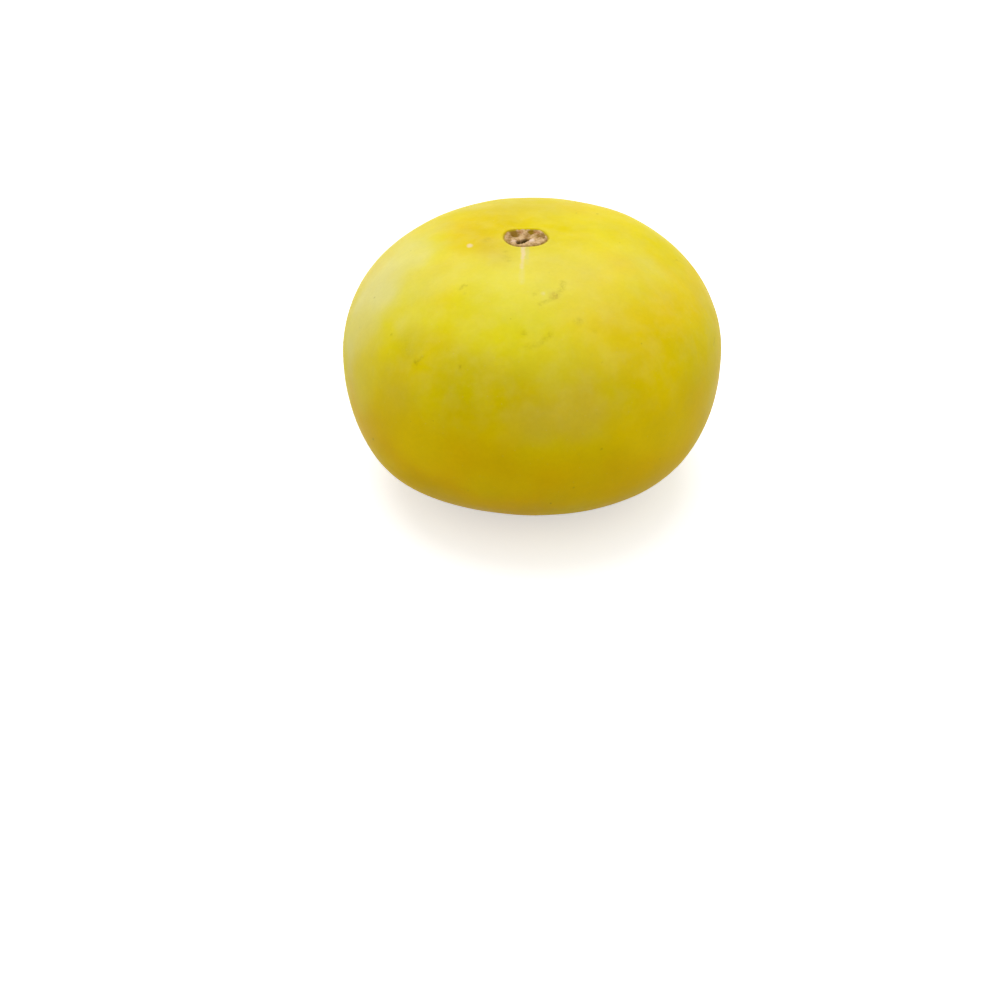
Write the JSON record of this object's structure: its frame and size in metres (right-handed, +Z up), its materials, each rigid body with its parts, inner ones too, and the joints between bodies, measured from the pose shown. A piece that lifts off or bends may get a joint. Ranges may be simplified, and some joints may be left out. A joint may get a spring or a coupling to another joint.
{
  "type": "melon",
  "caption": "Whole squat melon with a smooth golden-yellow rind and a corky stem scar on top, resting on a small flat spot.",
  "frame": {"origin": "on the resting surface, under the middle of the fruit's box", "axes": "+Z up through the stem scar; -Y is the side shown to a viewer"},
  "size_m": [0.156, 0.156, 0.1052],
  "materials": {
    "rind": null
  },
  "bodies": {
    "root": {"melon": "rind"}
  },
  "joints": []
}
